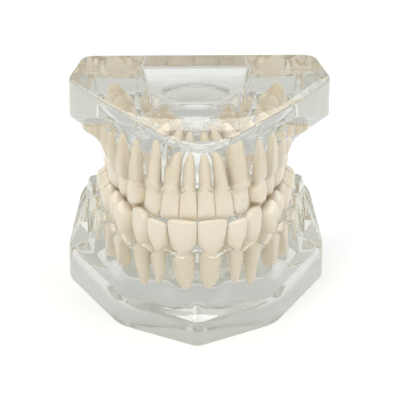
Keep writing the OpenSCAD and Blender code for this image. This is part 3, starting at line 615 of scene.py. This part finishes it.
def skin(field, low, high, cell):
    """Points, quads and normals of the skin field = 0 inside a box."""
    count = [int(math.ceil((b - a) / cell)) + 1 for a, b in zip(low, high)]
    grid = np.meshgrid(*(low[k] + cell * np.arange(count[k]) for k in range(3)), indexing="ij")
    value = field(*(part.ravel() for part in grid)).reshape(count)
    value = np.where(value == 0, 1e-9, value)
    inside = value < 0
    corners = sum(inside[a:count[0] - 1 + a, b:count[1] - 1 + b, c:count[2] - 1 + c].astype(int)
                  for a in (0, 1) for b in (0, 1) for c in (0, 1))
    crossed = (corners > 0) & (corners < 8)
    index = -np.ones(crossed.shape, int)
    cells = np.argwhere(crossed)
    index[crossed] = np.arange(len(cells))

    # one point in each crossed cell, at the mean of the crossings on its edges
    total, crossings = np.zeros((len(cells), 3)), np.zeros(len(cells))
    for axis in range(3):
        across, up = [k for k in range(3) if k != axis]
        for a in (0, 1):
            for b in (0, 1):
                start = cells.copy()
                start[:, across] += a
                start[:, up] += b
                end = start.copy()
                end[:, axis] += 1
                value0, value1 = value[tuple(start.T)], value[tuple(end.T)]
                cut = (value0 < 0) != (value1 < 0)
                point = start[cut].astype(float)
                point[:, axis] += value0[cut] / (value0[cut] - value1[cut])
                total[cut] += point
                crossings[cut] += 1
    points = np.array(low) + cell * total / crossings[:, None]

    # one quad round each crossed grid edge
    quads = []
    for axis in range(3):
        across, up = (axis + 1) % 3, (axis + 2) % 3
        first, second = [slice(None)] * 3, [slice(None)] * 3
        first[axis], second[axis] = slice(0, -1), slice(1, None)
        start, end = inside[tuple(first)], inside[tuple(second)]
        cut = np.argwhere(start != end)
        cut = cut[(cut[:, across] > 0) & (cut[:, up] > 0)
                  & (cut[:, across] < count[across] - 1) & (cut[:, up] < count[up] - 1)]
        ring = []
        for a, b in ((-1, -1), (0, -1), (0, 0), (-1, 0)):
            corner = cut.copy()
            corner[:, across] += a
            corner[:, up] += b
            ring.append(index[tuple(corner.T)])
        quad = np.stack(ring, 1)
        outside = ~start[tuple(cut.T)]
        quad[outside] = quad[outside][:, ::-1]
        quads.append(quad)

    # draw the points onto the surface
    for _ in range(3):
        slope = gradient(field, points)
        steep = np.maximum((slope * slope).sum(1), 0.15)
        move = -slope * (field(*points.T) / steep)[:, None]
        size = np.linalg.norm(move, axis=1)
        points = points + move * np.minimum(1, 0.5 * cell / np.maximum(size, 1e-9))[:, None]
    slope = gradient(field, points)
    normals = slope / np.maximum(np.linalg.norm(slope, axis=1), 1e-9)[:, None]
    return points, np.concatenate(quads), normals


def mesh_object(name, points, quads, normals, attributes):
    """A smooth quad mesh from points in millimetres."""
    mesh = bpy.data.meshes.new(name)
    mesh.vertices.add(len(points))
    mesh.vertices.foreach_set("co", (points * 0.001).astype(np.float32).ravel())
    mesh.loops.add(len(quads) * 4)
    mesh.loops.foreach_set("vertex_index", quads.astype(np.int32).ravel())
    mesh.polygons.add(len(quads))
    mesh.polygons.foreach_set("loop_start", np.arange(0, len(quads) * 4, 4, dtype=np.int32))
    mesh.update(calc_edges=True)
    mesh.validate()
    mesh.polygons.foreach_set("use_smooth", np.ones(len(mesh.polygons), bool))
    for key, values in attributes.items():
        attribute = mesh.attributes.new(key, "FLOAT", "POINT")
        attribute.data.foreach_set("value", values.astype(np.float32))
    mesh.normals_split_custom_set_from_vertices([tuple(normal) for normal in normals])
    piece = bpy.data.objects.new(name, mesh)
    bpy.context.scene.collection.objects.link(piece)
    return piece


# ---------------------------------------------------------------- shader nodes
def set_inputs(node, inputs):
    """Link each input to a socket, or give it a value."""
    for key, value in inputs.items():
        if isinstance(value, bpy.types.NodeSocket):
            node.id_data.links.new(value, node.inputs[key])
        else:
            node.inputs[key].default_value = value


def add_node(tree, kind, inputs={}, output=0, **settings):
    """Add a shader node and return one of its outputs."""
    node = tree.nodes.new("ShaderNode" + kind)
    for key, value in settings.items():
        setattr(node, key, value)
    set_inputs(node, inputs)
    return node.outputs[output] if node.outputs else None


def empty_tree(owner):
    """Clear the node tree of a material or world and return its node adder."""
    owner.use_nodes = True
    owner.node_tree.nodes.clear()
    return partial(add_node, owner.node_tree)


def add_ramp(add, factor, stops, interpolation="LINEAR"):
    """A colour ramp. Stops are position and colour, the first at 0 and the last at 1."""
    color = add("ValToRGB", {"Fac": factor}, "Color")
    ramp = color.node.color_ramp
    ramp.interpolation = interpolation
    ramp.elements[0].color = stops[0][1]
    ramp.elements[1].color = stops[-1][1]
    for position, stop_color in stops[1:-1]:
        ramp.elements.new(position).color = stop_color
    return color


def map_range(add, value, inputs, **settings):
    return add("MapRange", {"Value": value, **inputs}, "Result", **settings)


def resin_material():
    """Faintly uneven clear resin, which lets shadow and diffuse rays straight through."""
    material = bpy.data.materials.new("clear_resin")
    add = empty_tree(material)
    coords = add("TexCoord", output="Object")
    noise = add("TexNoise", {"Scale": 95, "Detail": 2, "Vector": coords}, "Fac")
    swirl = add("TexNoise", {"Scale": 38, "Detail": 1, "Vector": coords}, "Fac")
    # 35 percent of the noise on top of the swirl
    height = add("Math", {0: noise, 1: 0.35, 2: swirl}, operation="MULTIPLY_ADD")
    normal = add("Bump", {"Strength": 0.35, "Distance": 0.0006, "Height": height}, "Normal")
    rough = map_range(add, noise, {"From Min": 0.35, "From Max": 0.7,
                                   "To Min": 0.0, "To Max": 0.06})
    tint = add("Mix", {"A": (0.975, 0.98, 0.975, 1), "B": (0.985, 0.985, 0.97, 1),
                       "Factor": swirl}, "Result", data_type="RGBA")
    glass = add("BsdfPrincipled", {"IOR": 1.49, "Transmission Weight": 1.0, "Base Color": tint,
                                   "Roughness": rough, "Normal": normal})
    clear = add("BsdfTransparent", {"Color": (0.99, 0.99, 0.985, 1)})
    shadow = add("LightPath", output="Is Shadow Ray")
    diffuse = shadow.node.outputs["Is Diffuse Ray"]
    through = add("Math", {0: shadow, 1: diffuse}, operation="MAXIMUM")
    surface = add("MixShader", {0: through, 1: glass, 2: clear})
    volume = add("VolumeAbsorption", {"Color": (0.5, 0.515, 0.38, 1), "Density": 4.5})
    add("OutputMaterial", {"Surface": surface, "Volume": volume})
    return material


def socket_material():
    """The close fit round a root: no refraction, only a faint gleam of air."""
    material = bpy.data.materials.new("clear_resin_socket")
    add = empty_tree(material)
    coords = add("TexCoord", output="Object")
    noise = add("TexNoise", {"Scale": 300, "Vector": coords}, "Fac")
    share = map_range(add, noise, {"From Min": 0.45, "From Max": 0.72,
                                   "To Min": 0.0, "To Max": 0.3})
    gloss = add("BsdfGlossy", {"Roughness": 0.12, "Color": (0.9, 0.92, 0.92, 1)})
    fresnel = add("Fresnel", {"IOR": 1.25})
    gleam = add("Math", {0: fresnel, 1: share}, operation="MULTIPLY")
    clear = add("BsdfTransparent", {"Color": (0.985, 0.985, 0.98, 1)})
    add("OutputMaterial", {"Surface": add("MixShader", {0: gleam, 1: clear, 2: gloss})})
    return material


def ivory_material(name, warm):
    """Ivory, graded in colour from root to crown, clouded with a warm tone, and darkened brown in
    the fissures as painted shade.
    """
    material = bpy.data.materials.new(name)
    add = empty_tree(material)
    coords = add("TexCoord", output="Object")
    rise = add("Attribute", output="Fac", attribute_name="rise")
    fissure_shade = add("Attribute", output="Fac", attribute_name="fissure_shade")
    cloud = add("TexNoise", {"Scale": 260, "Detail": 3, "Vector": coords}, "Fac")
    ivory = add_ramp(add, rise, ((0, (0.765, 0.69, 0.56, 1)), (0.47, (0.78, 0.705, 0.575, 1)),
                                 (0.53, (0.775, 0.705, 0.58, 1)), (1, (0.79, 0.73, 0.62, 1))))
    vary = map_range(add, cloud, {"From Min": 0.35, "From Max": 0.68,
                                  "To Min": 0.2, "To Max": 0.75})
    tone = add("Mix", {"A": ivory, "B": warm, "Factor": vary}, "Result",
               data_type="RGBA", blend_type="MULTIPLY")
    # painted shade: the fissure mask mixes a brown into the ivory where the fissures lie
    color = add("Mix", {"A": tone, "B": (0.46, 0.30, 0.16, 1), "Factor": fissure_shade}, "Result",
                data_type="RGBA")
    fine = add("TexNoise", {"Scale": 900, "Detail": 3, "Vector": coords}, "Fac")
    normal = add("Bump", {"Strength": 0.22, "Distance": 0.00012, "Height": fine}, "Normal")
    rough = map_range(add, fine, {"From Min": 0.3, "From Max": 0.7,
                                  "To Min": 0.26, "To Max": 0.4})
    surface = add("BsdfPrincipled", {
        "Base Color": color, "Roughness": rough, "Normal": normal, "IOR": 1.5,
        "Subsurface Weight": 0.25, "Subsurface Radius": (1.0, 0.62, 0.34),
        "Subsurface Scale": 0.0012})
    add("OutputMaterial", {"Surface": surface})
    return material


RESIN = resin_material()
SOCKET = socket_material()
IVORY = [ivory_material("ivory_tooth_upper", warm=(0.97, 0.945, 0.90, 1)),
         ivory_material("ivory_tooth_lower", warm=(0.975, 0.94, 0.88, 1))]


# ---------------------------------------------------------------- pieces
BASE_Z = ((-0.9, 30.2), (38.0, 64.9))    # z range of each base's grid


def build_base(jaw):
    node = JAW_NAMES[jaw] + "_base"
    bottom, top = BASE_Z[jaw]
    points, quads, normals = skin(partial(base_f, jaw), (-38.9, -30.4, bottom),
                                  (39.9, 30.2, top), BASE_CELL)
    base = mesh_object(node + "_resin", points, quads, normals, {})
    base.data.materials.append(RESIN)
    base.data.materials.append(SOCKET)
    # faces with at least three corners on a socket wall
    lining = in_socket(jaw, *points.T)[quads].sum(1) >= 3
    base.data.polygons.foreach_set("material_index", lining.astype(np.int32))
    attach(base, "maxilla" if jaw == UPPER else "mandible")
    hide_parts(node)


def build_tooth(jaw, tooth):
    """A tooth on both sides of the jaw."""
    axes, origin = FRAMES[jaw, tooth]
    crown, root = CROWN[jaw][tooth], ROOT[jaw][tooth]
    box_w, box_d = WIDTH[jaw][tooth] / 2 + 0.9, DEPTH[jaw][tooth] / 2 + 1.1
    points, quads, normals = skin(partial(tooth_f, jaw, tooth), (-box_w, -box_d, -root - 0.8),
                                  (box_w, box_d, crown + 0.6), TOOTH_CELL)
    distal, labial, high = points.T
    # 0 at the root's end to 1 at the crown's tip, with a jump at the neck line
    rise = 0.5 + np.where(high > 0, high / crown * 0.5, high / root * 0.5)
    on_crown = high - neck_line(jaw, tooth, distal, labial) > 0
    rise = np.where(on_crown, np.maximum(rise, 0.53), np.minimum(rise, 0.47))
    # painted shade for the fissures of the crown, a mask from 0 to 0.55
    fissure_shade = pits(jaw, tooth, distal, labial) * step(high / crown, 0.4, 0.6) * 0.55
    points, normals = points @ axes + origin, normals @ axes
    for side, mirror in SIDES:
        name = f"{JAW_NAMES[jaw]}_{side}_{TOOTH_NAMES[tooth]}"
        flip = np.array([mirror, 1, 1])
        # left-handed placings turn the faces inside out
        turned = np.linalg.det(axes) * mirror < 0
        piece = mesh_object(name + "_ivory", points * flip, quads[:, ::-1] if turned else quads,
                            normals * flip, {"rise": rise, "fissure_shade": fissure_shade})
        piece.data.materials.append(IVORY[jaw])
        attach(piece, name)
        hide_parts(name)


for jaw in JAWS:
    build_base(jaw)
    for tooth in TEETH:
        build_tooth(jaw, tooth)


# ---------------------------------------------------------------- floor, metres
def floor_material():
    """Pale floor with a painted pool of light, greyer far out, and with painted shade where it is
    seen through the resin.
    """
    material = bpy.data.materials.new("pale_floor")
    add = empty_tree(material)
    coords = add("TexCoord", output="Object")
    grain = add("TexNoise", {"Scale": 6, "Vector": coords}, "Fac")
    pale = add_ramp(add, grain, ((0, (0.96, 0.96, 0.96, 1)), (1, (0.97, 0.97, 0.97, 1))))
    # painted pool of light: the floor turns grey from 0.3 m out to 1.3 m
    far = add("VectorMath", {0: coords}, "Value", operation="LENGTH")
    smooth = {"interpolation_type": "SMOOTHSTEP"}
    fade = map_range(add, far, {"From Min": 0.3, "From Max": 1.3}, **smooth)
    painted_light_pool = add("Mix", {"A": pale, "B": (0.66, 0.67, 0.68, 1), "Factor": fade}, "Result",
              data_type="RGBA")
    # painted shade: the floor is darker where it is seen through the resin
    transmitted = add("LightPath", output="Is Transmission Ray")
    soft = add("Mix", {"A": painted_light_pool, "Factor": transmitted}, "Result",
               data_type="RGBA", blend_type="MULTIPLY")
    # the painted shade is weaker on a strip of floor behind the model
    floor_y = add("SeparateXYZ", {0: coords}, "Y")
    behind = map_range(add, floor_y, {"From Min": 0.112, "From Max": 0.13}, **smooth)
    aside = add("Math", {0: floor_y.node.outputs["X"]}, operation="ABSOLUTE")
    narrow = map_range(add, aside, {"From Min": 0.022, "From Max": 0.034,
                                    "To Min": 1.0, "To Max": 0.0}, **smooth)
    strip = add("Math", {0: behind, 1: narrow}, operation="MULTIPLY")
    shade = add("Mix", {"A": (0.6, 0.605, 0.572, 1), "B": (0.84, 0.845, 0.83, 1),
                        "Factor": strip}, "Result", data_type="RGBA")
    set_inputs(soft.node, {"B": shade})
    surface = add("BsdfPrincipled", {"Roughness": 0.9, "Specular IOR Level": 0.1,
                                     "Base Color": soft})
    add("OutputMaterial", {"Surface": surface})
    return material


def build_floor(segments=64, radii=(0.4, 6.0), drop=0.0002):
    """A disc with one ring round it, just below z = 0."""
    verts, faces = [(0, 0, 0)], []
    for radius in radii:
        for k in range(segments):
            angle = 2 * math.pi * k / segments
            verts.append((radius * math.cos(angle), radius * math.sin(angle), 0))
    for k in range(segments):
        this, after = 1 + k, 1 + (k + 1) % segments
        faces.append((0, this, after))
        faces.append((this, this + segments, after + segments, after))
    mesh = bpy.data.meshes.new("floor")
    mesh.from_pydata(verts, [], faces)
    mesh.update()
    floor = bpy.data.objects.new("floor", mesh)
    floor.location = (0, 0, -drop)
    bpy.context.scene.collection.objects.link(floor)
    floor.data.materials.append(floor_material())


# ---------------------------------------------------------------- light, camera and render
def build_world():
    """A soft grey sky, with bright bands overhead that only mirror-like rays see."""
    world = bpy.data.worlds.new("studio")
    bpy.context.scene.world = world
    add = empty_tree(world)
    coords = add("TexCoord", output="Generated")
    height = add("SeparateXYZ", {0: coords}, "Z")
    sky = add_ramp(add, height, (
        (0, (0.585, 0.59, 0.565, 1)), (0.2, (0.60, 0.605, 0.59, 1)),
        (0.4, (0.54, 0.545, 0.53, 1)), (0.7, (0.83, 0.84, 0.82, 1)),
        (1, (0.92, 0.93, 0.94, 1))), "EASE")
    bands = add_ramp(add, height, (
        (0, (0.45, 0.46, 0.46, 1)), (0.35, (0.6, 0.6, 0.6, 1)), (0.6, (0.9, 0.9, 0.9, 1)),
        (0.78, (5.0, 5.0, 5.0, 1)), (0.95, (5.0, 5.0, 5.0, 1)), (1, (1.6, 1.6, 1.6, 1))), "EASE")
    reflected = add("LightPath", output="Is Reflection Ray")
    diffuse = reflected.node.outputs["Is Diffuse Ray"]
    mirrored = add("Math", {0: reflected, 1: diffuse}, operation="SUBTRACT", use_clamp=True)
    color = add("Mix", {"A": sky, "B": bands, "Factor": mirrored}, "Result", data_type="RGBA")
    add("OutputWorld", {"Surface": add("Background", {"Color": color, "Strength": 1.0})})


def area(name, location, size, power, color=(1, 1, 1), target=(0, 0, 0.03)):
    """A rectangular light aimed at the model, not seen through the resin."""
    light = bpy.data.lights.new(name, "AREA")
    light.shape = "RECTANGLE"
    light.size, light.size_y = size
    light.energy = power
    light.color = color
    lamp = bpy.data.objects.new(name, light)
    lamp.location = location
    aim = Vector(target) - Vector(location)
    lamp.rotation_euler = aim.to_track_quat("-Z", "Y").to_euler()
    lamp.visible_transmission = False
    bpy.context.scene.collection.objects.link(lamp)


def build_camera(location, pitch, yaw, lens):
    """A camera looking along +Y, pitched down and turned by degrees."""
    data = bpy.data.cameras.new("camera")
    data.sensor_width = 36
    data.lens = lens
    data.clip_start, data.clip_end = 0.02, 30
    camera = bpy.data.objects.new("camera", data)
    camera.location = location
    camera.rotation_euler = (math.pi / 2 - math.radians(pitch), 0, math.radians(yaw))
    bpy.context.scene.collection.objects.link(camera)
    bpy.context.scene.camera = camera


def set_render():
    scene = bpy.context.scene
    scene.view_settings.view_transform = "Standard"
    scene.view_settings.look = "None"
    cycles = scene.cycles
    cycles.max_bounces = 24
    cycles.transmission_bounces = 20
    cycles.transparent_max_bounces = 32
    cycles.glossy_bounces = 8
    cycles.diffuse_bounces = 4
    cycles.volume_bounces = 0
    cycles.caustics_reflective = False
    cycles.caustics_refractive = True
    cycles.blur_glossy = 0.5
    cycles.sample_clamp_indirect = 6.0
    cycles.use_denoising = True


build_floor()
build_world()
area("key", location=(-0.45, -0.5, 0.9), size=(0.5, 0.5), power=3.3, color=(1, 0.985, 0.96))
area("fill", location=(0.7, -0.35, 0.55), size=(0.35, 0.7), power=1.5, color=(0.96, 0.98, 1))
area("back", location=(0.1, 0.85, 0.75), size=(0.9, 0.4), power=2.0)
build_camera(location=(-0.0075, -0.7388, 0.4245), pitch=28.0, yaw=-0.66, lens=264)
set_render()
